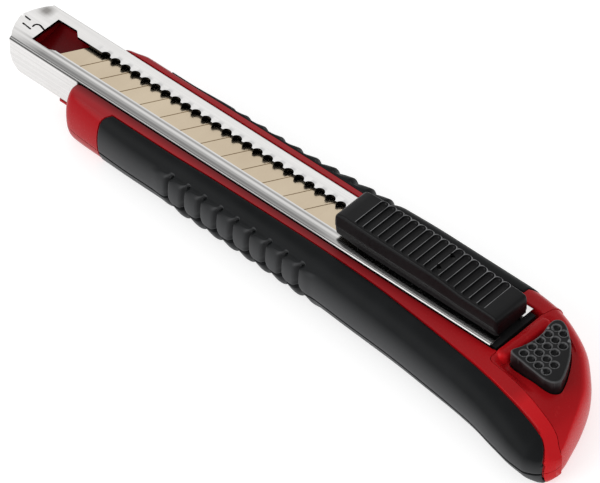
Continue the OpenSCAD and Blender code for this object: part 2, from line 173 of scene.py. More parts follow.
def tube_mesh(rings, ends="fan"):
    """Closed solid through an array of rings. ends: "fan", "flat" or "strip" (two equal halves)."""
    m, n, _ = rings.shape
    verts = rings.reshape(-1, 3)
    faces = ring_faces(m, n)
    last = (m - 1) * n
    if ends == "flat":
        faces.append(tuple(range(n))[::-1])
        faces.append(tuple(range(last, last + n)))
    elif ends == "strip":
        for j in range(n // 2 - 1):
            k = n - 1 - j
            faces.append((j + 1, j, k, k - 1))
            faces.append((last + j, last + j + 1, last + k - 1, last + k))
    else:
        verts = np.vstack([verts, rings[0].mean(0), rings[-1].mean(0)])
        for j in range(n):
            faces.append((j, m * n, (j + 1) % n))
            faces.append((last + j, last + (j + 1) % n, m * n + 1))
    return verts, faces


def prism(outline, low, high):
    n = len(outline)
    lower = np.column_stack([outline, np.full(n, low)])
    upper = np.column_stack([outline, np.full(n, high)])
    faces = [tuple(range(n))[::-1], tuple(range(n, 2 * n))]
    faces += [(i, (i + 1) % n, n + (i + 1) % n, n + i) for i in range(n)]
    return plain_object("cutter", np.vstack([lower, upper]), faces)


def cut(target, outline, low, high, operation="DIFFERENCE"):
    """Cuts target with an upright prism that has this outline, by one exact boolean."""
    cutter = prism(outline, low, high)
    mod = target.modifiers.new("cut", "BOOLEAN")
    mod.object = cutter
    mod.operation = operation
    mod.solver = "EXACT"
    dg = bpy.context.evaluated_depsgraph_get()
    dg.update()
    result = bpy.data.meshes.new_from_object(target.evaluated_get(dg))
    target.modifiers.clear()
    target.data = result
    bpy.data.objects.remove(cutter)


# ------------ materials

def material(name, colour, roughness, metallic=0.0, specular=0.5):
    mat = bpy.data.materials.new(name)
    mat.use_nodes = True
    tree = mat.node_tree
    shader = tree.nodes["Principled BSDF"]
    shader.inputs["Base Color"].default_value = (*colour, 1)
    shader.inputs["Roughness"].default_value = roughness
    shader.inputs["Metallic"].default_value = metallic
    shader.inputs["Specular IOR Level"].default_value = specular
    return mat, tree, shader


def connect(tree, shader, colour, roughness, normal):
    for name, value in (("Base Color", colour), ("Roughness", roughness), ("Normal", normal)):
        tree.links.new(value, shader.inputs[name])


def noise(tree, scale, detail=3.0, rough=0.55, stretch=(1, 1, 1)):
    coords = tree.nodes.new("ShaderNodeTexCoord")
    mapping = tree.nodes.new("ShaderNodeMapping")
    mapping.inputs["Scale"].default_value = stretch
    tree.links.new(coords.outputs["Object"], mapping.inputs["Vector"])
    node = tree.nodes.new("ShaderNodeTexNoise")
    node.inputs["Scale"].default_value = scale
    node.inputs["Detail"].default_value = detail
    node.inputs["Roughness"].default_value = rough
    tree.links.new(mapping.outputs["Vector"], node.inputs["Vector"])
    return node.outputs["Fac"]


def remap(tree, value, low, high, to_low=0, to_high=1):
    node = tree.nodes.new("ShaderNodeMapRange")
    node.inputs["From Min"].default_value = low
    node.inputs["From Max"].default_value = high
    node.inputs["To Min"].default_value = to_low
    node.inputs["To Max"].default_value = to_high
    tree.links.new(value, node.inputs["Value"])
    return node.outputs["Result"]


def arithmetic(tree, operation, a, b=0.0):
    node = tree.nodes.new("ShaderNodeMath")
    node.operation = operation
    for socket, item in zip(node.inputs, (a, b)):
        if isinstance(item, (int, float)):
            socket.default_value = item
        else:
            tree.links.new(item, socket)
    return node.outputs["Value"]


def product(tree, first, *others):
    for other in others:
        first = arithmetic(tree, "MULTIPLY", first, other)
    return first


def larger(tree, a, b):
    return arithmetic(tree, "MAXIMUM", a, b)


def mix_colour(tree, factor, a, b, blend="MIX"):
    node = tree.nodes.new("ShaderNodeMix")
    node.data_type = "RGBA"
    node.blend_type = blend
    tree.links.new(factor, node.inputs["Factor"])
    for socket, item in ((node.inputs["A"], a), (node.inputs["B"], b)):
        if isinstance(item, tuple):
            socket.default_value = (*item, 1)
        else:
            tree.links.new(item, socket)
    return node.outputs["Result"]


def bump(tree, height, strength, distance):
    node = tree.nodes.new("ShaderNodeBump")
    node.inputs["Strength"].default_value = strength
    node.inputs["Distance"].default_value = distance
    tree.links.new(height, node.inputs["Height"])
    return node.outputs["Normal"]


def ramp(tree, value, stops):
    """Grey stops placed on a value from 0 to 1."""
    node = tree.nodes.new("ShaderNodeValToRGB")
    elements = node.color_ramp.elements
    while len(elements) < len(stops):
        elements.new(0.5)
    for element, (stop, grey) in zip(elements, stops):
        element.position = stop
        element.color = (grey, grey, grey, 1)
    tree.links.new(value, node.inputs["Fac"])
    return node.outputs["Color"]


def edge_highlight(tree, amount, start=0.53, full=0.64):
    """Painted highlight: greater than 0 on convex edges, 0 elsewhere."""
    geometry = tree.nodes.new("ShaderNodeNewGeometry")
    return remap(tree, geometry.outputs["Pointiness"], start, full, 0, amount)


def position(tree):
    """x, y and z of the surface, in millimetres from ORIGIN."""
    coords = tree.nodes.new("ShaderNodeTexCoord")
    split = tree.nodes.new("ShaderNodeSeparateXYZ")
    tree.links.new(coords.outputs["Object"], split.inputs["Vector"])
    lengths = [product(tree, split.outputs[axis], 1 / MM) for axis in "XYZ"]
    return [arithmetic(tree, "SUBTRACT", v, float(start)) for v, start in zip(lengths, ORIGIN)]


def facing_up(tree):
    """1 where the surface faces straight up, 0 on a wall, -1 where it faces down."""
    coords = tree.nodes.new("ShaderNodeTexCoord")
    split = tree.nodes.new("ShaderNodeSeparateXYZ")
    tree.links.new(coords.outputs["Normal"], split.inputs["Vector"])
    return split.outputs["Z"]


def between(tree, value, low, high, soft):
    """1 from low to high, with soft ends."""
    rise = remap(tree, value, low - soft, low + soft)
    fall = remap(tree, value, high - soft, high + soft, 1, 0)
    return product(tree, rise, fall)


def gloss_plastic(name, colour, dark, light, roughness=0.26):
    """Glossy plastic: cloudy, deeper in tone where it faces up as painted shade, and paler on its edges
    as a painted highlight.
    """
    mat, tree, shader = material(name, colour, roughness, specular=0.08)
    cloud = noise(tree, 45, 4)
    base = mix_colour(tree, remap(tree, cloud, 0.35, 0.65), dark, colour)
    # painted shade: a deeper tone where the surface faces up
    painted_top_shade = tuple(0.6 * c for c in dark)
    base = mix_colour(tree, remap(tree, facing_up(tree), 0.6, 0.95, 0, 0.9), base, painted_top_shade)
    edge_lit = mix_colour(tree, edge_highlight(tree, 0.12), base, light)
    fine = noise(tree, 2600, 3)
    gloss = remap(tree, fine, 0.3, 0.7, roughness - 0.015, roughness + 0.02)
    flow = noise(tree, 120, 2)
    height = arithmetic(tree, "ADD", product(tree, fine, 0.08), flow)
    connect(tree, shader, edge_lit, gloss, bump(tree, height, 0.025, 0.0001))
    return mat, tree, shader, edge_lit


def soft_rubber(name, colour, light):
    """Dull charcoal rubber with a fine grain, paler on its sides as painted light and paler on its edges
    as a painted highlight.
    """
    mat, tree, shader = material(name, colour, 0.5, specular=0.07)
    cloud = noise(tree, 70, 5, 0.6)
    base = mix_colour(tree, remap(tree, cloud, 0.35, 0.75, 0, 0.3), colour, light)
    # painted light: paler where the rubber faces sideways or down
    base = mix_colour(tree, remap(tree, facing_up(tree), -0.2, 0.45, 1, 0), base, (0.06, 0.061, 0.063))
    edge_lit = mix_colour(tree, edge_highlight(tree, 0.55), base, light)
    gloss = remap(tree, cloud, 0.3, 0.7, 0.4, 0.52)
    connect(tree, shader, edge_lit, gloss, bump(tree, noise(tree, 4200, 3), 0.22, 0.00006))
    return mat


HIGHLIGHT_GREY = (0.2, 0.2, 0.205)  # pale grey painted on black plastic as a highlight on edges and rib crests


def black_plastic(name, painted_highlight, start=0.54, full=0.68, specular=0.14):
    """Grained black plastic; the second argument is how pale a highlight is painted on its edges."""
    mat, tree, shader = material(name, (0.004, 0.004, 0.0045), 0.36, specular=specular)
    cloud = noise(tree, 150, 4)
    ground = remap(tree, cloud, 0.3, 0.7)
    base = mix_colour(tree, ground, (0.003, 0.003, 0.0035), (0.006, 0.006, 0.0065))
    edge_lit = mix_colour(tree, edge_highlight(tree, painted_highlight, start, full), base, HIGHLIGHT_GREY)
    grain = noise(tree, 3800, 3)
    gloss = remap(tree, grain, 0.3, 0.7, 0.3, 0.44)
    connect(tree, shader, edge_lit, gloss, bump(tree, grain, 0.22, 0.00006))
    return mat, tree, shader, edge_lit


def brushed_steel(name, colour=(0.78, 0.77, 0.76), low=0.12, high=0.26, along=(30, 2600, 2600)):
    """Metal with fine lines along X."""
    mat, tree, shader = material(name, colour, 0.2, metallic=1.0)
    lines = noise(tree, 1.0, 4, stretch=along)
    darker = tuple(0.86 * c for c in colour)
    streaks = mix_colour(tree, remap(tree, lines, 0.3, 0.7), darker, colour)
    stain = noise(tree, 140, 4)
    final = mix_colour(tree, remap(tree, stain, 0.45, 0.8, 0, 0.3), streaks, (0.6, 0.58, 0.56))
    gloss = remap(tree, lines, 0.25, 0.75, low, high)
    connect(tree, shader, final, gloss, bump(tree, lines, 0.05, 0.0001))
    return mat, tree, shader, final


# Painted reflections: reflectance of the near lip from its outer edge to the slot, as light and dark
# bands.
LIP_REFLECTIONS = [(0.0, 0.2), (0.06, 0.15), (0.143, 0.3), (0.206, 0.42), (0.302, 0.27), (0.365, 0.3),
              (0.46, 0.5), (0.524, 0.46), (0.587, 0.7), (0.667, 0.9), (0.73, 0.82), (0.81, 0.42),
              (0.857, 0.45), (0.937, 0.88)]
NOTCH_STEP = 2.5


def painted_lip_reflections(tree, x, y, z, up, base):
    """Painted reflections: light and dark bands along the near lip, weaker at the nose and beside the
    slider.
    """
    lines = ramp(tree, remap(tree, y, -6.05, -2.9), LIP_REFLECTIONS)
    upper = product(tree, between(tree, z, -0.6, 1, 0.05), remap(tree, up, 0.05, 0.25))
    near = product(tree, upper, remap(tree, y, -2.8, -2.7, 1, 0))
    rim = product(tree, remap(tree, y, -5.5, -5.2, 1, 0), remap(tree, x, 76, 86, 1, 0.75))
    at_nose = larger(tree, remap(tree, x, 1.5, 9, 0.25, 1), rim)
    at_slider = larger(tree, remap(tree, x, 76, 86, 1, 0.45), rim)
    return mix_colour(tree, product(tree, near, at_nose, at_slider), base, lines, "MULTIPLY")


def notch_facet_shade(tree, x, y, z, up, base):
    """Painted shade: grey patches on the stamped facets between the locking notches."""
    top = product(tree, between(tree, z, -0.45, 1, 0.1), remap(tree, up, 0.2, 0.6))
    wave = arithmetic(tree, "SINE", product(tree, x, 2 * math.pi / NOTCH_STEP))
    row = product(tree, between(tree, y, 2.7, 3.75, 0.25), remap(tree, x, 15, 17, 0, 0.5))
    facet_shade = product(tree, remap(tree, wave, -0.2, 0.7), row, top)
    return mix_colour(tree, facet_shade, base, (0.36, 0.36, 0.37))


# Painted shade: a dark patch in the fold at the nose's far corner.
def nose_fold_shade(tree, x, y, base):
    fold_shade = product(tree, between(tree, x, 0.5, 2.9, 0.8), between(tree, y, 2.6, 4.9, 0.7), 0.8)
    return mix_colour(tree, fold_shade, base, (0.16, 0.15, 0.14))


def painted_edge_shade(tree, x, y, z, up):
    """Painted shade: 1 on the punched walls of the window, slot and nose joint, and on the sides in the
    pocket.
    """
    walls = product(tree, remap(tree, up, 0.25, 0.5, 1, 0), between(tree, y, -4, 4.4, 0.1))
    walls = product(tree, walls, between(tree, z, -0.62, 1, 0.02))
    joint = product(tree, between(tree, x, -0.4, 4.4, 0.1), between(tree, y, -2.1, 0.5, 0.1))
    walls = product(tree, walls, larger(tree, between(tree, x, 4.2, 116.9, 0.1), joint))
    sides = larger(tree, remap(tree, y, -5.88, -5.95), remap(tree, y, 5.9, 5.97))
    sides = product(tree, sides, remap(tree, x, 18.6, 19))
    return larger(tree, walls, sides)


def crown_bump(tree, shader, y, z):
    """Tilts the near lip's outer strip outwards, under the fine lines that are there already."""
    fine = shader.inputs["Normal"].links[0].from_node
    fine.inputs["Strength"].default_value = 0.03
    lean = larger(tree, arithmetic(tree, "SUBTRACT", -4.3, y), 0)
    crown = product(tree, lean, lean, -0.1, between(tree, z, -0.3, 1, 0.02))
    rolled = bump(tree, crown, 1.0, 0.001)
    tree.links.new(fine.outputs["Normal"], rolled.node.inputs["Normal"])
    tree.links.new(rolled, shader.inputs["Normal"])


def channel_steel():
    """Brushed steel with painted reflections on the near lip, painted shade on the coined teeth and in
    the nose fold, and painted shade on the punched edges and beside the pocket.
    """
    mat, tree, shader, base = brushed_steel("channel_steel")
    x, y, z = position(tree)
    up = facing_up(tree)
    banded = painted_lip_reflections(tree, x, y, z, up, base)
    coined = notch_facet_shade(tree, x, y, z, up, banded)
    fold_shaded = nose_fold_shade(tree, x, y, coined)
    # painted shade, near black, on the punched walls and beside the pocket
    final = mix_colour(tree, painted_edge_shade(tree, x, y, z, up), fold_shaded, (0.004, 0.004, 0.004))
    tree.links.new(final, shader.inputs["Base Color"])
    crown_bump(tree, shader, y, z)
    return mat


def blade_steel():
    mat, tree, shader = material("blade_steel", (0.58, 0.48, 0.35), 0.2, metallic=1.0)
    lines = noise(tree, 1.0, 3, stretch=(900, 60, 60))
    cloud = noise(tree, 70, 4)
    fade = remap(tree, cloud, 0.35, 0.65)
    base = mix_colour(tree, fade, (0.515, 0.425, 0.312), (0.565, 0.475, 0.355))
    gloss = remap(tree, lines, 0.3, 0.7, 0.14, 0.24)
    connect(tree, shader, base, gloss, bump(tree, lines, 0.03, 0.0001))
    return mat


def handle_red():
    """Red of the handle with painted light and shade: duller along the top strips as painted shade,
    darker still in a painted shadow beside the steel, and clearer at the sides and towards the tail as
    painted light.
    """
    mat, tree, shader, base = gloss_plastic(
        "red_plastic", (0.32, 0.005, 0.009), (0.29, 0.004, 0.007), (0.5, 0.03, 0.03))
    x, y, z = position(tree)
    up = remap(tree, facing_up(tree), 0.6, 0.9)
    # painted shade: the strips on top are duller
    top = product(tree, up, between(tree, z, -0.9, 1, 0.2))
    # painted light: the top strips clear towards the tail
    clear = remap(tree, x, 84, 118)
    # painted shadow of the steel on the near strip, darkest beside the channel
    inner = arithmetic(tree, "ADD", remap(tree, y, -7.9, -6.3, 1, 0), remap(tree, y, 0, 1))
    shaded_strip = mix_colour(tree, inner, (0.12, 0.008, 0.01), (0.3, 0.022, 0.026))
    strip = mix_colour(tree, clear, shaded_strip, (0.36, 0.006, 0.009))
    # painted light: the sides clear towards the tail
    lit_towards_tail = remap(tree, x, 100, 126)
    sides = mix_colour(tree, lit_towards_tail, base, (0.54, 0.009, 0.013))
    both = mix_colour(tree, top, sides, strip)
    tree.links.new(both, shader.inputs["Base Color"])
    return mat


def pad_black():
    """Black plastic with a pale highlight painted along its rib crests and rims where they face up."""
    mat, tree, shader, base = black_plastic("pad_plastic", 0.0)
    x, y, _ = position(tree)
    along = arithmetic(tree, "DIVIDE", arithmetic(tree, "SUBTRACT", x, RIB_FIRST), RIB_PITCH)
    part = product(tree, arithmetic(tree, "FRACT", along), 2)
    across = arithmetic(tree, "ABSOLUTE", arithmetic(tree, "SUBTRACT", part, 1))
    across = arithmetic(tree, "DIVIDE", across, VALLEY_HALF)
    end = arithmetic(tree, "DIVIDE", arithmetic(tree, "SUBTRACT", y, FAR_CENTRE), END_REACH)
    end = larger(tree, end, 0)
    gap = arithmetic(tree, "ADD", product(tree, across, across), product(tree, end, end))
    line = between(tree, gap, 1.09, 1.6, 0.05)
    ribbed = between(tree, x, RIB_FIRST - 0.06, RIB_FIRST + RIB_PITCH * RIBS + 0.06, 0.02)
    painted_highlight = product(tree, line, ribbed, remap(tree, y, -3.7, -3.4))
    cloud = noise(tree, 320, 3)
    patchy = remap(tree, cloud, 0.3, 0.6, 0.35, 1)
    high = remap(tree, facing_up(tree), 0.05, 0.3)
    painted_highlight = product(tree, painted_highlight, patchy, high)
    tree.links.new(mix_colour(tree, painted_highlight, base, HIGHLIGHT_GREY), shader.inputs["Base Color"])
    return mat


RED = handle_red()
# The cap's red is a brighter copy of the handle's red: painted light towards the tail.
CAP_RED = gloss_plastic("cap_red_plastic", (0.57, 0.01, 0.015), (0.52, 0.008, 0.012),
                        (0.7, 0.06, 0.06))[0]
# A darker copy of the red for the bed down in the channel: painted shade.
BED_RED_IN_SHADE = gloss_plastic("dark_red_plastic", (0.24, 0.002, 0.004), (0.16, 0.001, 0.003),
                         (0.3, 0.02, 0.02))[0]
RUBBER = soft_rubber("grip_rubber", (0.005, 0.0056, 0.006), (0.024, 0.025, 0.027))
PAD_BLACK = pad_black()
# The second argument paints a highlight on the edges: strong on the button's edges and dimple rims, faint
# on the carrier.
BUTTON_BLACK = black_plastic("button_plastic", 0.8, 0.508, 0.56)[0]
CARRIER_BLACK = black_plastic("carrier_plastic", 0.1, specular=0.02)[0]
STEEL = channel_steel()
BLADE = blade_steel()
SPRING = brushed_steel("spring_steel", (0.5, 0.5, 0.51), 0.2, 0.35)[0]
ZINC = brushed_steel("fastener_steel", (0.6, 0.6, 0.61), 0.22, 0.4, (900, 900, 900))[0]
DARK_PIN = brushed_steel("blackened_pin", (0.03, 0.03, 0.032), 0.3, 0.45, (900, 900, 900))[0]

# ------------ handle envelope

FINGER_WIDTH = curve([(18.6, 8.4), (19.1, 9.4), (20, 10), (21.6, 10.3), (28, 10.8), (36, 11.2),
                      (50, 11.3), (62, 11.5), (76, 11.9), (91, 12.9), (101, 13.6), (111, 14.7),
                      (116, 15.3), (122, 16.2), (128, 17.6), (133, 18.5), (135.5, 18.6), (137.4, 17.9),
                      (138.6, 16.9), (139.3, 15.9), (139.8, 14.6)])
THUMB_WIDTH = curve([(18.6, 6.9), (19.1, 7.4), (20, 7.9), (21.6, 8.3), (24, 8.9), (34, 9), (43, 9.5),
                     (62, 10), (71, 10.7), (82, 11.2), (94, 11.6), (112, 11.6), (119, 11), (121.3, 10.4),
                     (124.4, 9.2), (128.9, 6.8), (131.8, 4.2), (134.8, 0.6), (136.7, -3.6), (137.9, -7.2),
                     (139, -10.8), (139.8, -14.4)])
TOP_LINE = curve([(18.6, -1.2), (19.2, -0.5), (20.4, -0.15), (22, -0.1), (117, -0.1), (122, -0.3),
                  (128, -0.8), (133, -1.8), (136, -3), (138, -4.5), (139.8, -6.4)])
BOTTOM_LINE = curve([(18.6, -11.3), (19.6, -11.8), (20.6, -12), (136, -12), (138.4, -11.6),
                     (139.8, -10.4)])
FINGER_ROUND = curve([(18.6, 2.4), (21, 2.6), (36, 3.9), (92, 4.2), (122, 4.9), (135, 5.1), (139.8, 0.8)])
THUMB_ROUND = curve([(18.6, 1.8), (21, 2.2), (34, 2.6), (62, 3), (119, 3.6), (133, 3.6), (137, 2.4),
                     (139.8, 0.8)])
# Where the red strip on top meets the rubber.
FINGER_EDGE = curve([(18.6, 7.6), (28, 8.15), (44, 8.2), (55, 7.95), (75, 7.85), (84, 7.95), (92, 8.25),
                     (102, 9.15), (112, 10.3), (122, 11.65), (128, 12.7), (133.5, 13.65), (134.8, 13.9),
                     (137, 14.3), (139.8, 13)])
# Rear end of the finger rubber against its distance from the middle plane.
FINGER_REAR = curve([(12, 133), (13.6, 134.2), (13.9, 134.9), (14.4, 136.4), (15.4, 137.7), (16.9, 138.6),
                     (18.6, 138.7)])
THUMB_EDGE = curve([(18.6, 6.8), (28, 7.35), (60, 7.3), (80, 7.2), (100, 7.15), (111, 7.4), (115, 7.9),
                    (119, 8.2)])
POWER = 2.2  # of the superellipse that rounds the sides
FRONT, TAIL = 18.6, 139.8
POCKET = 6.12  # half the width of the pocket that holds the channel
POCKET_FLOOR = -7.3
SEAM = -8.3  # height of the joint between the two halves
CAP_START = 119.03
# The cap's seam seen from above: y against x.
SEAM_LINE = curve([(119, -8.5), (126, -9.2), (133.3, -10.6), (137.4, -11.6), (138.5, -12.4),
                   (140.5, -13.2)])
SIDES = {
    "finger": (-1, FINGER_WIDTH, FINGER_ROUND, FINGER_EDGE),
    "thumb": (1, THUMB_WIDTH, THUMB_ROUND, THUMB_EDGE),
}
SCREWS = (26, 62, 98)
SCREW_BORE = 1.95
BACK_FLOOR = -11.1  # inside of the back half's flat wall
HOLLOW_START, HOLLOW_END, HOLLOW_HALF = 22, 121, 6


def side_profile(x, side, inner, samples=360):
    """(y, z) from the inner top edge, over the side and to the flat back. y counts outwards."""
    _, width, rounding, _ = SIDES[side]
    w, a = float(width(x)), float(rounding(x))
    top, low = float(TOP_LINE(x)), float(BOTTOM_LINE(x))
    mid, half = (top + low) / 2, (top - low) / 2
    angle = np.linspace(math.pi / 2, -math.pi / 2, samples)
    c, s = np.cos(angle), np.sin(angle)
    y = w - a + a * signed_power(c, 2 / POWER)
    z = mid + half * signed_power(s, 2 / POWER)
    if w - a > inner:
        flat = np.linspace(inner, w - a, 60)[:-1]
        y, z = np.concatenate([flat, y]), np.concatenate([np.full(len(flat), top), z])
    else:
        keep = (y >= inner) | (s < 0)
        y, z = y[keep], z[keep]
    return y, z


def resample(y, z, marks, counts):
    """Points at even steps of length between marks; a mark is a function of the running length."""
    length = np.concatenate([[0], np.cumsum(np.hypot(np.diff(y), np.diff(z)))])
    stops = [mark(length) for mark in marks]
    at = [np.linspace(i, j, n, endpoint=False) for i, j, n in zip(stops[:-1], stops[1:], counts)]
    at = np.concatenate(at + [[stops[-1]]])
    return np.interp(at, length, y), np.interp(at, length, z)


TOP_CELLS, SIDE_CELLS, BACK_CELLS = 14, 52, 20
SEAM_COL = TOP_CELLS + SIDE_CELLS
GUTTER, GUTTER_END = 0.45, 118.5  # the red drops this far beside the steel, up to this station


def side_grid(xs, side, gutter=True):
    """Rows of (x, y, z) over one side for every station: top strip, side, back."""
    sign, width, _, edge_line = SIDES[side]
    rows = []
    for x in xs:
        station = min(x, CAP_START) if side == "thumb" else x
        y, z = side_profile(station, side, POCKET)
        edge_y = min(max(float(edge_line(station)), POCKET + 0.4), float(width(station)) - 0.3)
        upper = z > (z.max() + z.min()) / 2
        marks = (
            lambda length: 0.0,
            lambda length: float(np.interp(edge_y, y[upper], length[upper])),
            lambda length: float(np.interp(-SEAM, -z, length)),
            lambda length: float(length[-1]),
        )
        y, z = resample(y, z, marks, [TOP_CELLS, SIDE_CELLS, BACK_CELLS])
        if gutter and station < GUTTER_END:
            y[1:3] = POCKET + 0.1, POCKET + 0.2
            z[:2] -= GUTTER, 0.1
        rows.append(np.stack([np.full(len(y), x), sign * y, z], axis=1))
    return np.array(rows)


def stations(start, end, step, fine=(), fine_step=0.12, reach=1.0):
    """Even stations from start to end, closer together round the fine ones."""
    xs = set(np.round(np.arange(start, end, step), 4)) | {start, end}
    for f in fine:
        xs |= set(np.round(np.arange(max(start, f - reach), min(end, f + reach), fine_step), 4))
    xs = sorted(xs)
    keep = [xs[0]]
    for x in xs[1:]:
        if x - keep[-1] > 0.06 or x == xs[-1]:
            keep.append(x)
    return np.array(keep)


def outward_normals(grid, sign):
    """Unit normals of a grid of points, turned to the outside."""
    n = np.cross(np.gradient(grid, axis=0), np.gradient(grid, axis=1))
    n /= np.maximum(np.linalg.norm(n, axis=2, keepdims=True), 1e-9)
    return n * (np.sign(np.sum(n[..., 1] * sign)) or 1)


# First and last station of the rubber.
GRIPS = {"finger": (28.3, 138.7), "thumb": (28.9, 114.6)}


def grip_ends(side, points):
    """Front and rear station of the rubber beside these points."""
    front, rear = GRIPS[side]
    y, z = np.abs(points[..., 1]), points[..., 2]
    corner = np.clip((z + 2.2) / 1.9, 0, 0.995)
    lean = 1.5 * quarter(corner)
    if side == "finger":
        return front + lean, np.where(z < -6.5, rear, FINGER_REAR(y))
    return front + lean, rear - lean


def under_rubber(side, grid, margin=0.16):
    """1 between the rubber's ends, 0 beyond them."""
    front, rear = grip_ends(side, grid)
    x = grid[..., 0]
    return smooth(front - margin, front + 0.02, x) * (1 - smooth(rear, rear + margin, x))


def finger_relief(x, z):
    """Finger grooves: narrow C-shaped cuts with a swell between them."""
    first, pitch, count = 45.8, 4.0, 9
    curl = 1.0 * smooth(-3.9, -2.3, z) ** 1.5 + 1.5 * smooth(-6.8, -10.2, z) ** 1.4
    t = (x - first - curl) / pitch
    k = np.clip(np.round(t), 0, count - 1)
    off = (t - k) * pitch
    width = 0.44 + 0.42 * smooth(-6.6, -9.8, z)
    cut = 1.15 * np.exp(-(np.abs(off) / width) ** 2.6)
    low = 0.12 * smooth(-7, -9.5, z)
    swell = (0.34 + low) * np.abs(np.sin(np.pi * np.clip(t, 0, count - 1))) ** 0.6
    after = np.clip(t - (count - 1), 0, 1)
    before = np.clip(t + 1, 0, 1)
    swell = swell + 0.2 * np.sin(np.pi * after) ** 2 + 0.12 * np.sin(np.pi * before) ** 2
    window = smooth(-1.9, -2.7, z) * smooth(-11.7, -11.0, z)
    return (swell - cut) * window


def thumb_relief(x, z, from_edge):
    """Thumb rests: overlapping scales that rise towards the tail and drop steeply."""
    first, pitch, count = 48.3, 4.13, 9
    curl = 0.8 * smooth(-6.0, -9.6, z)
    t = (x - first - curl) / pitch
    inside = smooth(-1.0, -0.9, t) * (1 - smooth(count - 1 - 0.02, count - 1 + 0.9, t))
    phase = t - np.floor(t)
    rise = np.where(phase < 0.8, (phase / 0.8) ** 0.62, 1 - smooth(0.8, 1.0, phase))
    window = smooth(0.25, 1.1, from_edge) * smooth(-10.6, -9.7, z)
    return -0.8 * (1 - rise) * inside * window + 0.1 * inside * window


def side_shell(side, xs):
    """The red surface of one side, pressed in where rubber covers it."""
    cols = np.arange(TOP_CELLS + SIDE_CELLS + BACK_CELLS + 1)
    below_edge = smooth(TOP_CELLS - 0.9, TOP_CELLS + 0.6, cols)[None, :]
    rim = smooth(SEAM_COL + BACK_CELLS - 3.4, SEAM_COL + BACK_CELLS - 4.6, cols)[None, :]
    grid = side_grid(xs, side)
    n = outward_normals(grid, SIDES[side][0]) * (0, 1, 1)
    n /= np.linalg.norm(n, axis=2, keepdims=True)
    dip = under_rubber(side, grid) * below_edge * rim * 0.85
    if side == "finger":
        grooved = smooth(43, 44.5, grid[..., 0]) * (1 - smooth(80, 82, grid[..., 0]))
        dip = dip + 0.55 * grooved * below_edge * rim
    return grid - n * dip[..., None]


TURN_IN = 5.5  # the shells' edges turn in along the seam to here


def seam_gap(count):
    """Least distance from the seam of each row, counted from the seam."""
    return np.minimum(0.06 + 0.03 * np.arange(count), 0.5)


def front_rows(shell, sign):
    """One side of the front half: pocket wall, outer surface and turned-in edge."""
    upper = shell[:, : SEAM_COL + 1].copy()
    upper[..., 2] = np.maximum(upper[..., 2], SEAM + seam_gap(upper.shape[1])[::-1])
    wall = upper[:, :1].repeat(4, axis=1).copy()
    rise = upper[:, 0, 2] - POCKET_FLOOR
    for i, share in enumerate((0, 0.3, 0.6, 0.85)):
        wall[:, i, 2] = POCKET_FLOOR + share * rise
    wall[..., 1] = sign * POCKET
    roll = upper[:, -1:].repeat(2, axis=1).copy()
    roll[:, 0, 1] -= sign * 0.25
    roll[:, 1, 1] = sign * TURN_IN
    roll[:, 1, 2] = SEAM
    return np.concatenate([wall, upper, roll], axis=1)


def back_rows(shell, sign):
    """One side of the back half: turned-in edge, outer surface and flat back."""
    lower = shell[:, SEAM_COL:].copy()
    lower[..., 2] = np.minimum(lower[..., 2], SEAM - seam_gap(lower.shape[1]))
    inward = lower[:, :1].copy()
    inward[:, 0, 1] = sign * TURN_IN
    flat = lower[:, -1:].repeat(3, axis=1).copy()
    for i, share in enumerate((0.85, 0.5, 0.1)):
        flat[:, i, 1] *= share
    return np.concatenate([inward, lower, flat], axis=1)


def handle_shells():
    """Rings of the front half and of the back half."""
    xs = stations(FRONT, TAIL, 0.5, fine=(19.4, 29.0, 115, 138.2), fine_step=0.16, reach=1.7)
    finger, thumb = side_shell("finger", xs), side_shell("thumb", xs)
    top_ring = np.concatenate([front_rows(finger, -1)[:, ::-1], front_rows(thumb, 1)], axis=1)
    low_ring = np.concatenate([back_rows(finger, -1), back_rows(thumb, 1)[:, ::-1]], axis=1)
    return top_ring, low_ring


CORNER = 1.3  # rounding of the cap's near front corner


def cap_outline(gap):
    """The cap's region seen from above; gap pulls it back from the handle."""
    first = CAP_START + CORNER
    line = [(x, float(SEAM_LINE(x)) + gap) for x in np.linspace(first, 140.5, 60)]
    low = float(SEAM_LINE(first)) + gap
    reach = CORNER - gap
    turn = [(first - reach * math.cos(a), low + reach - reach * math.sin(a))
            for a in np.linspace(0, math.pi / 2, 10)[:-1]]
    edge = [(146, -13.2 + gap), (146, 16), (120.4 + gap, 16), (119.9 + gap, 9.2),
            (CAP_START + gap, 5.4)]
    return np.array(turn + line + edge)


LIP_SPAN, LIP_Z, LIP_HALF_Y, LIP_HALF_Z = (13.8, 20), -7.75, 6.1, 0.46  # under the nose
BORE_TOP = BACK_FLOOR + 0.4


def build_handle():
    top_ring, low_ring = handle_shells()
    upper = plain_object("handle_front_shell", *tube_mesh(top_ring, "flat"))
    cut(upper, cap_outline(0.0), CUT_LOW, CUT_HIGH)
    place(upper, RED, "handle", ("handle_front",), 45)
    lower = plain_object("handle_back_shell", *tube_mesh(low_ring, "flat"))
    cut(lower, cap_outline(0.0), CUT_LOW, CUT_HIGH)
    hollow = rectangle(HOLLOW_START, HOLLOW_END, HOLLOW_HALF)
    cut(lower, hollow, BACK_FLOOR, SEAM + 1)
    for x in SCREWS:
        cut(lower, circle(x, 0, SCREW_BORE), CUT_LOW, BORE_TOP)
    place(lower, RED, "handle", ("handle_back",), 45)
    lip = rounded_bar(LIP_SPAN, 0, LIP_Z, LIP_HALF_Y, LIP_HALF_Z)
    place(plain_object("handle_front_lip", *lip), RED, "handle", (), 40)


def rectangle(start, end, half):
    return np.array([(start, -half), (end, -half), (end, half), (start, half)])


def circle(x, y, r, count=40):
    angle = np.linspace(0, 2 * math.pi, count, endpoint=False)
    return np.column_stack([x + r * np.cos(angle), y + r * np.sin(angle)])


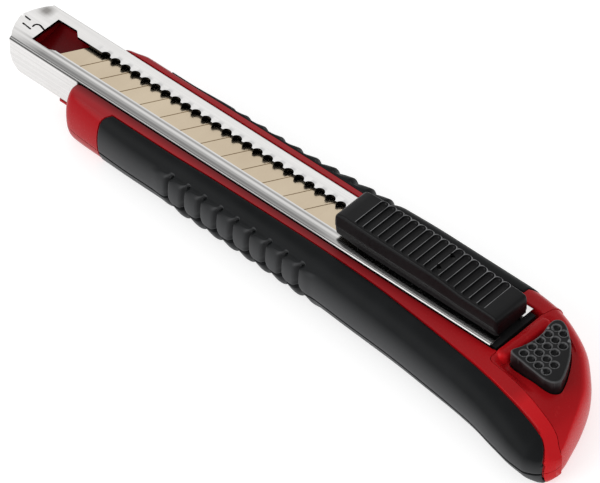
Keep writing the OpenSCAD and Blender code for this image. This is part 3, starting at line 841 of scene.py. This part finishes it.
PROUD = 0.12  # the rubber stands this far out of the red
SKIN, SKIN_LEAST = 0.72, 0.25  # depth of its inner side, and how far below the outer side at least
SEAM_REACH = 9  # along the thumb side, from the rubber's upper edge to the seam


def surface_point(xs, line, x):
    """Values of a column of points or normals at stations x."""
    return np.stack([np.interp(x, xs, line[:, axis]) for axis in range(3)], axis=-1)


def slide_ends(side, xs, grid, n):
    """Moves the rows along the surface so that the ends follow grip_ends."""
    share = ((xs - xs[0]) / (xs[-1] - xs[0]))[:, None]
    at_front, at_rear = grid[0].copy(), grid[-1].copy()
    for _ in range(8):
        front = grip_ends(side, at_front)[0]
        rear = grip_ends(side, at_rear)[1]
        for j in range(grid.shape[1]):
            at_front[j] = surface_point(xs, grid[:, j], front[j])
            at_rear[j] = surface_point(xs, grid[:, j], 0.5 * (rear[j] + at_rear[j, 0]))
    ease_front = (front - xs[0]) * np.exp(-(xs[:, None] - xs[0]) / 1.8) * (1 - share)
    ease_rear = (rear - xs[-1]) * np.exp(-(xs[-1] - xs[:, None]) / 1.8) * share
    wanted = xs[:, None] + ease_front + ease_rear
    moved, turned = np.empty_like(grid), np.empty_like(n)
    for j in range(grid.shape[1]):
        moved[:, j] = surface_point(xs, grid[:, j], wanted[:, j])
        turned[:, j] = surface_point(xs, n[:, j], wanted[:, j])
    return moved, turned


def grip_relief(side, back, grid, from_top):
    if side == "finger":
        return finger_relief(grid[..., 0], grid[..., 2])
    edge_gap = from_top + (SEAM_REACH if back else 0)
    return thumb_relief(grid[..., 0], grid[..., 2], edge_gap)


def edge_roll(along, from_top, from_low):
    """Drop of the rubber's skin beside its edges."""
    near = np.minimum(np.clip(along, 0, 3), np.minimum(from_top, from_low))
    lip = np.clip(near / 0.4, 0, 1)
    return 0.34 * quarter(1 - lip)


def build_grip(side, back):
    """Rubber skin of one side, above the seam or, with back, below it."""
    start, end = GRIPS[side]
    xs = stations(start, end, 0.22, fine=(start + 0.6, end - 0.6), fine_step=0.1, reach=1.3)
    sign = SIDES[side][0]
    grid = side_grid(xs, side, gutter=False)
    n = outward_normals(grid, sign)
    cols = slice(SEAM_COL, SEAM_COL + BACK_CELLS - 3) if back else slice(TOP_CELLS, SEAM_COL + 1)
    grid, n = grid[:, cols], n[:, cols]
    grid, n = slide_ends(side, xs, grid, n)
    front, rear = grip_ends(side, grid)
    step = np.linalg.norm(np.diff(grid, axis=1), axis=2)
    from_top = np.concatenate([np.zeros((len(grid), 1)), np.cumsum(step, axis=1)], axis=1)
    from_low = from_top[:, -1:] - from_top
    relief = grip_relief(side, back, grid, from_top)
    along = np.minimum(grid[..., 0] - front, rear - grid[..., 0])
    roll = edge_roll(along, from_top, from_low)
    outer = grid + n * (PROUD + relief - roll)[..., None]
    inner_skin = grid + n * np.minimum(relief - SKIN_LEAST, -SKIN)[..., None]
    if back:
        outer[:, 0, 2] = np.minimum(outer[:, 0, 2], SEAM - 0.1)
    else:
        outer[:, -1, 2] = np.maximum(outer[:, -1, 2], SEAM + 0.1)
    ring = np.concatenate([outer, inner_skin[:, ::-1]], axis=1)
    name = f"grip_{side}" + ("_back" if back else "")
    skin = plain_object(name + "_skin", *tube_mesh(ring, "strip"))
    place(skin, RUBBER, "handle", (name,), 50)


# ------------ end cap and button

BUTTON_OUTLINE = [(121.8, -5.7), (122.5, -3.3), (123, -1), (123, 1.4), (122.5, 3.6), (122.6, 5),
                  (123.5, 5.75), (124.9, 5.4), (126.8, 4), (128.4, 2.5), (129.9, 0.6), (131.2, -1.6),
                  (132.1, -3.6), (132.5, -5.2), (131.8, -6.3), (130.2, -6.75), (127.7, -6.6),
                  (124.9, -6.35)]


def blend(a, b, low, high, t):
    return ((high - t) * a + (t - low) * b) / (high - low)


def button_line(per, grow=0.0):
    """Closed centripetal spline through the button's outline, moved outward by grow."""
    p = np.array(BUTTON_OUTLINE, float)
    n = len(p)
    out = []
    for i in range(n):
        p0, p1, p2, p3 = p[i - 1], p[i], p[(i + 1) % n], p[(i + 2) % n]
        t0, t1 = 0.0, np.linalg.norm(p1 - p0) ** 0.5
        t2 = t1 + np.linalg.norm(p2 - p1) ** 0.5
        t3 = t2 + np.linalg.norm(p3 - p2) ** 0.5
        for t in np.linspace(t1, t2, per, endpoint=False):
            a1, a2 = blend(p0, p1, t0, t1, t), blend(p1, p2, t1, t2, t)
            a3 = blend(p2, p3, t2, t3, t)
            b1, b2 = blend(a1, a2, t0, t2, t), blend(a2, a3, t1, t3, t)
            out.append(blend(b1, b2, t1, t2, t))
    out = np.array(out)
    ahead, behind = np.roll(out, -1, axis=0), np.roll(out, 1, axis=0)
    tangent = ahead - behind
    tangent /= np.linalg.norm(tangent, axis=1, keepdims=True)
    outward = np.stack([tangent[:, 1], -tangent[:, 0]], axis=1)
    middle = out.mean(0)
    if np.mean(np.sum(outward * (out - middle), axis=1)) < 0:
        outward = -outward
    return out + outward * grow


RIDGE_X, RIDGE_Z, RIDGE_RADIUS = 120.35, -0.85, 1.3


def cap_top(x, y):
    """Height of the cap's upper surface: a hollow round the button behind a round ridge."""
    top = TOP_LINE(x) + 0 * y
    axis = -6.9 - (x - 120.6) * 0.158
    depth = 1.35 * smooth(119.6, 121.2, x) * (1 - smooth(122.5, 130.5, x))
    hollow = depth * (1 - smooth(0.0, 1.5, axis - y)) * (1 - smooth(4.6, 6.8, y))
    base = top - hollow
    off = x - RIDGE_X - 0.052 * y
    beyond = np.maximum(np.maximum(-5.6 - y, y - 4.5), 0)
    reach = RIDGE_RADIUS ** 2 - off ** 2 - beyond ** 2
    ridge = np.where(reach > 0, RIDGE_Z + np.sqrt(np.maximum(reach, 0)), -9.0)
    return np.maximum(base, ridge)


def body_ring(x):
    """Closed ring round the whole tail at one station; the top follows cap_top."""
    fw, fa = float(FINGER_WIDTH(x)), float(FINGER_ROUND(x))
    tw, ta = float(THUMB_WIDTH(x)), float(THUMB_ROUND(x))
    room = max(fw + tw, 0.05)
    fa, ta = min(fa, room * 0.45), min(ta, room * 0.45)
    top, low = float(TOP_LINE(x)), float(BOTTOM_LINE(x))
    mid, half = (top + low) / 2, (top - low) / 2
    across = np.linspace(-(fw - fa), tw - ta, 110)
    over = cap_top(np.full(len(across), x), across)
    angle = np.linspace(math.pi / 2, -math.pi / 2, 48)
    c, s = np.cos(angle)[1:-1], np.sin(angle)[1:-1]
    bulge = signed_power(c, 2 / POWER)
    height = mid + half * signed_power(s, 2 / POWER)
    under = across[::-5]
    y = np.concatenate([across, tw - ta + ta * bulge, under, -(fw - fa + fa * bulge[::-1])])
    z = np.concatenate([over, height, np.full(len(under), low), height[::-1]])
    return np.column_stack([np.full(len(y), x), y, z])


CAP_GAP, BUTTON_GAP = 0.13, 0.2
PIT_FLOOR = -4.6
# The floor plate has the button's outline, grown round its middle, and a tab towards the handle.
PLATE_MIDDLE, PLATE_GROWTH, PLATE_TOP = np.array([127, -1.6]), 1 + 0.95 / 6, -11.05
TAB_START, TAB_END, TAB_HALF = 117, 124, 3.4
TONGUE_SPAN, TONGUE_Y, TONGUE_Z = (106, 121), 4.6, -9.7
TONGUE_HALF_Y, TONGUE_HALF_Z = 1.05, 1.2


def build_cap():
    xs = stations(118.4, TAIL, 0.2)
    cap = plain_object("end_cap_shell", *tube_mesh(np.array([body_ring(x) for x in xs])))
    cut(cap, cap_outline(CAP_GAP), CUT_LOW, CUT_HIGH, "INTERSECT")
    cut(cap, button_line(8, BUTTON_GAP), PIT_FLOOR, CUT_HIGH)
    seat = PLATE_MIDDLE + (button_line(8) - PLATE_MIDDLE) * PLATE_GROWTH
    cut(cap, seat, CUT_LOW, PLATE_TOP)
    cut(cap, rectangle(TAB_START, TAB_END, TAB_HALF), CUT_LOW, PLATE_TOP)
    place(cap, CAP_RED, "cap", ("end_cap",), 40)
    for number, sign in enumerate((-1, 1)):
        bar = rounded_bar(TONGUE_SPAN, sign * TONGUE_Y, TONGUE_Z, TONGUE_HALF_Y, TONGUE_HALF_Z)
        tongue = plain_object(f"end_cap_tongue_{number + 1}", *bar)
        place(tongue, CAP_RED, "cap", (), 40)


def rounded_bar(x_span, y, z, half_y, half_z, count=32):
    """Bar along X with rounded edges and ends."""
    angles = np.linspace(0, 2 * math.pi, count, endpoint=False)
    cs, sn = signed_power(np.cos(angles), 0.35), signed_power(np.sin(angles), 0.35)
    start, end = x_span
    shrink = ((0, 0.8), (0.15, 0.95), (0.4, 1.0))
    places = [(start + d, k) for d, k in shrink] + [(end - d, k) for d, k in shrink[::-1]]
    rows = [np.column_stack([np.full(count, x), y + half_y * cs * k, z + half_z * sn * k])
            for x, k in places]
    return tube_mesh(np.array(rows))


# The button's sloping top: station and height of its front edge, and its slope.
BUTTON_START, BUTTON_HIGH, BUTTON_TILT = 121.3, 1.7, math.radians(2.5)
BUTTON_FOOT = -6.0
BUTTON_SOFT = 0.3  # radius of the top edge
BUTTON_STEPS = 14  # points in each span of the outline
BUTTON_CELL = 0.13  # spacing of the points in the dimpled top


def button_height(x):
    """Sloping top of the button."""
    return BUTTON_HIGH - math.tan(BUTTON_TILT) * (x - BUTTON_START)


DIMPLE_RADIUS, DIMPLE_DEPTH, DIMPLE_PITCH = 0.74, 0.62, 2.08
# x and y of the first dimple in each row, and the number of dimples.
DIMPLE_ROWS = ((123.85, -4.6, 5), (125.6, -4.8, 5), (127.45, -5, 4), (129.3, -5.15, 2))
DIMPLES = np.array([(x + 0.06 * k, y + DIMPLE_PITCH * k)
                    for x, y, count in DIMPLE_ROWS for k in range(count)])


def distance_to(points, marks):
    """Distance from each point to the nearest mark."""
    return np.sqrt(((points[:, None] - marks[None]) ** 2).sum(axis=2)).min(axis=1)


def dimple_depth(points, edge):
    """Bowls with a fine raised rim; both fade out beside the button's edge."""
    gap = distance_to(points, DIMPLES)
    room = distance_to(points, edge)
    bowl = DIMPLE_DEPTH * np.sqrt(np.clip(1 - (gap / DIMPLE_RADIUS) ** 2, 0, 1))
    rim = 0.05 * np.exp(-((gap - DIMPLE_RADIUS - 0.1) / 0.08) ** 2)
    return bowl * smooth(0, 0.22, room) - rim * smooth(0.2, 0.5, room)


def inside_outline(points, outline):
    """True for points inside a closed outline."""
    x, y = points[:, :1], points[:, 1:]
    ax, ay = outline.T
    bx, by = np.roll(outline, -1, axis=0).T
    crosses = (ay > y) != (by > y)
    slope = (bx - ax) / np.where(by == ay, 1e-9, by - ay)
    return (crosses & (x < ax + (y - ay) * slope)).sum(axis=1) % 2 == 1


def button_rings():
    """Skirt and rounded top edge of the button."""
    base = button_line(BUTTON_STEPS)
    top = button_height(base[:, 0])
    rings = [np.column_stack([base, np.full(len(base), BUTTON_FOOT)])]
    for level in np.linspace(-5.5, -0.6, 10):
        rings.append(np.column_stack([base, np.minimum(level, top - 0.6)]))
    for angle in np.linspace(0, math.pi / 2, 6):
        inset = button_line(BUTTON_STEPS, -BUTTON_SOFT * (1 - math.cos(angle)))
        height = button_height(inset[:, 0]) - BUTTON_SOFT * (1 - math.sin(angle))
        rings.append(np.column_stack([inset, height]))
    return np.array(rings)


def button_cover(ring):
    """Dimpled top inside a ring: points, of which the ring's come first, and triangles."""
    edge, n = ring[:, :2], len(ring)
    low, high = edge.min(axis=0), edge.max(axis=0)
    gx, gy = np.meshgrid(*(np.arange(low[k], high[k], BUTTON_CELL) for k in range(2)))
    gx[::2] += BUTTON_CELL / 2
    filling = np.column_stack([gx.ravel(), gy.ravel()])
    inner = button_line(BUTTON_STEPS, -BUTTON_SOFT - 0.09)
    filling = filling[inside_outline(filling, inner)]
    flat = np.vstack([edge, filling])
    loop = [(i, (i + 1) % n) for i in range(n)]
    points, _, tris, *_ = delaunay_2d_cdt([Vector(p) for p in flat], loop, [], 1, 1e-7)
    cover = np.array([tuple(p) for p in points])
    height = button_height(cover[:, 0]) - dimple_depth(cover, edge)
    height[:n] = ring[:, 2]
    return np.column_stack([cover, height]), tris


def build_button():
    rings = button_rings()
    m, n, _ = rings.shape
    cover, tris = button_cover(rings[-1])
    middle = [*rings[-1][:, :2].mean(0), BUTTON_FOOT]
    verts = np.vstack([rings.reshape(-1, 3), cover, [middle]])
    faces = ring_faces(m, n)
    faces += [tuple(m * n + k for k in tri) for tri in tris]
    faces += [((j + 1) % n, j, len(verts) - 1) for j in range(n)]
    body = plain_object("cap_button_body", verts, faces)
    place(body, BUTTON_BLACK, "button", ("cap_button",), 60)


# ------------ slider pad

PAD_FRONT, PAD_END = 79.5, 117.4
PAD_FAR, PAD_NEAR = 3.95, 4.3  # half widths on the thumb and the finger side
PAD_UNDER = 0.85
PAD_LINE = curve([(79.5, 3.3), (79.58, 4.2), (79.9, 5.05), (80.6, 5.65), (82, 5.9), (101, 5.9),
                  (105, 5.6), (110, 5.0), (115, 4.9), (116.7, 4.7), (117.2, 4.2), (117.4, 3.2)])
VALLEY = 0.62  # depth of the valleys between the ribs
PIN_X, PIN_Y, PIN_BORE, PIN_LOW, PIN_HIGH = 102, 1.8, 0.45, 4.6, 7


def rib_phase(x):
    """Place across one valley, -1 to 1, and whether x is among the ribs at all."""
    t = (x - RIB_FIRST) / RIB_PITCH
    inside = (t > 0.001) & (t < RIBS - 0.001)
    return np.where(inside, 2 * (t - np.floor(t)) - 1, 1.0), inside


def valley_depth(x, y):
    """Depth of the valley at (x, y): a trough with round ends."""
    phase, inside = rib_phase(x)
    beyond = np.maximum(np.maximum(y - FAR_CENTRE, NEAR_CENTRE - y) / END_REACH, 0)
    d = np.sqrt((np.abs(phase) / VALLEY_HALF) ** 2 + beyond ** 2)
    bowl = np.clip(1 - d ** 2.6, 0, 1) ** 0.5
    return np.where(inside, VALLEY * bowl, 0)


def pad_stations():
    """Even places between the ribs, so that every rib has the same shape."""
    within = RIB_FIRST + RIB_PITCH * (np.arange(RIBS * 20 + 1) / 20)
    before = np.arange(PAD_FRONT, RIB_FIRST - 0.05, 0.12)
    after = np.linspace(within[-1], PAD_END, 34)[1:]
    return np.concatenate([before, within, after])


def pad_ring(x):
    """Closed ring round the pad at one station: top, far wall, underside, near wall."""
    crest = float(PAD_LINE(x))
    phase, inside = rib_phase(np.array(x))
    nose = max(0.0, 1 - (x - PAD_FRONT) / 0.9) ** 2
    tail = max(0.0, 1 - (PAD_END - x) / 0.7) ** 2
    flare = float(smooth(80, 88, x))
    far = PAD_FAR - 0.45 * nose - 0.3 * tail - 0.15 * (1 - flare)
    near = PAD_NEAR - 0.45 * nose - 0.3 * tail - 0.2 * (1 - flare)
    if inside:
        far -= 0.34 * float(quarter(phase))
    under = PAD_UNDER + 0.9 * nose
    share = np.linspace(-1, 1, 91)
    y = np.where(share > 0, share * far, share * near)
    fall = np.zeros(len(y))
    for gap, corner in ((far - y, 0.2 if inside else 0.4), (near + y, 0.42)):
        q = np.clip(1 - gap / corner, 0, 1)
        fall = fall + corner * quarter(q)
    z = crest - valley_depth(np.full(len(y), x), y) - fall
    down = np.linspace(0.06, 1, 18)
    step = 0.16 * smooth(0.62, 0.66, down)
    foot = -0.2 * flare * smooth(0.85, 1.0, down)
    far_wall = np.column_stack([far - step, z[-1] + (under - z[-1]) * down])
    near_wall = np.column_stack([step + foot - near, z[0] + (under - z[0]) * down])
    ring_y = np.concatenate([y, far_wall[:, 0], [0], near_wall[::-1, 0]])
    ring_z = np.concatenate([z, far_wall[:, 1], [under], near_wall[::-1, 1]])
    return np.column_stack([np.full(len(ring_y), x), ring_y, ring_z])


def build_pad():
    pad = plain_object("slider_pad_body", *tube_mesh(np.array([pad_ring(x) for x in pad_stations()])))
    for y in (-PIN_Y, PIN_Y):
        cut(pad, circle(PIN_X, y, PIN_BORE, 24), PIN_LOW, PIN_HIGH)
    place(pad, PAD_BLACK, "slider", ("slider_pad",), 40)


build_handle()
for grip_side in ("finger", "thumb"):
    for on_back in (False, True):
        build_grip(grip_side, on_back)
build_cap()
build_button()
build_pad()

# The CAD pieces that stay visible as they are.
CAD_LOOKS = {
    "blade_channel": STEEL,
    "channel_bed": BED_RED_IN_SHADE,
    "body_screws": ZINC,
    "blade": BLADE,
    "blade_carrier": CARRIER_BLACK,
    "blade_holder": ZINC,
    "blade_pin": ZINC,
    "lock_spring": SPRING,
    "slider_pins": DARK_PIN,
    "cap_floor": RED,
    "button_spring": SPRING,
    "cap_latch": SPRING,
}
for node, look in CAD_LOOKS.items():
    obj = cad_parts[node]
    obj.data.materials.clear()
    obj.data.materials.append(look)
    obj.data.polygons.foreach_set("material_index", [0] * len(obj.data.polygons))
channel_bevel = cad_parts["blade_channel"].modifiers.new("edge", "BEVEL")
channel_bevel.width = 0.00006
channel_bevel.segments = 2
channel_bevel.limit_method = "ANGLE"
channel_bevel.angle_limit = math.radians(40)

# ------------ stage, light and camera

floor_mesh = bpy.data.meshes.new("floor")
floor_mesh.from_pydata([(-3, -3, 0), (3, -3, 0), (3, 3, 0), (-3, 3, 0)], [], [(0, 1, 2, 3)])
floor = add_object("floor", floor_mesh)
floor_mat, _, floor_shader = material("floor_pale", (0.55, 0.55, 0.55), 0.8, specular=0.1)
floor_shader.inputs["Emission Color"].default_value = (1, 1, 1, 1)
floor_shader.inputs["Emission Strength"].default_value = 0.62
floor_mesh.materials.append(floor_mat)

world = bpy.data.worlds.new("studio")
bpy.context.scene.world = world
world.use_nodes = True
background = world.node_tree.nodes["Background"]
background.inputs["Color"].default_value = (1, 1, 1, 1)
background.inputs["Strength"].default_value = 0.68
bpy.context.scene.view_settings.view_transform = "Standard"


def area_light(name, location, size, brightness, target=(0, 0, 0.01)):
    """Soft box whose face shines with the given brightness."""
    data = bpy.data.lights.new(name, "AREA")
    data.shape = "RECTANGLE"
    data.size, data.size_y = size
    data.energy = brightness * math.pi * size[0] * size[1]
    light = add_object(name, data)
    light.location = location
    aim = Vector(target) - Vector(location)
    light.rotation_mode = "QUATERNION"
    light.rotation_quaternion = aim.to_track_quat("-Z", "Y")
    return light


area_light("top_box", (-0.45, 0.5, 0.68), (1.1, 0.8), 0.42)
area_light("front_box", (-0.35, -0.9, 0.5), (0.9, 0.7), 2.9)

TARGET = Vector((6.305, -9.277, 12)) * MM
AZIMUTH, ELEVATION, DISTANCE = math.radians(42.26), math.radians(45.10), 0.9
back_way = Vector((math.sin(AZIMUTH) * math.cos(ELEVATION), -math.cos(AZIMUTH) * math.cos(ELEVATION),
                   math.sin(ELEVATION)))
camera_data = bpy.data.cameras.new("camera")
camera_data.sensor_width = 36
camera_data.lens = 308.2
camera = add_object("camera", camera_data)
camera.location = TARGET + back_way * DISTANCE
camera.rotation_mode = "QUATERNION"
camera.rotation_quaternion = (-back_way).to_track_quat("-Z", "Y")
bpy.context.scene.camera = camera
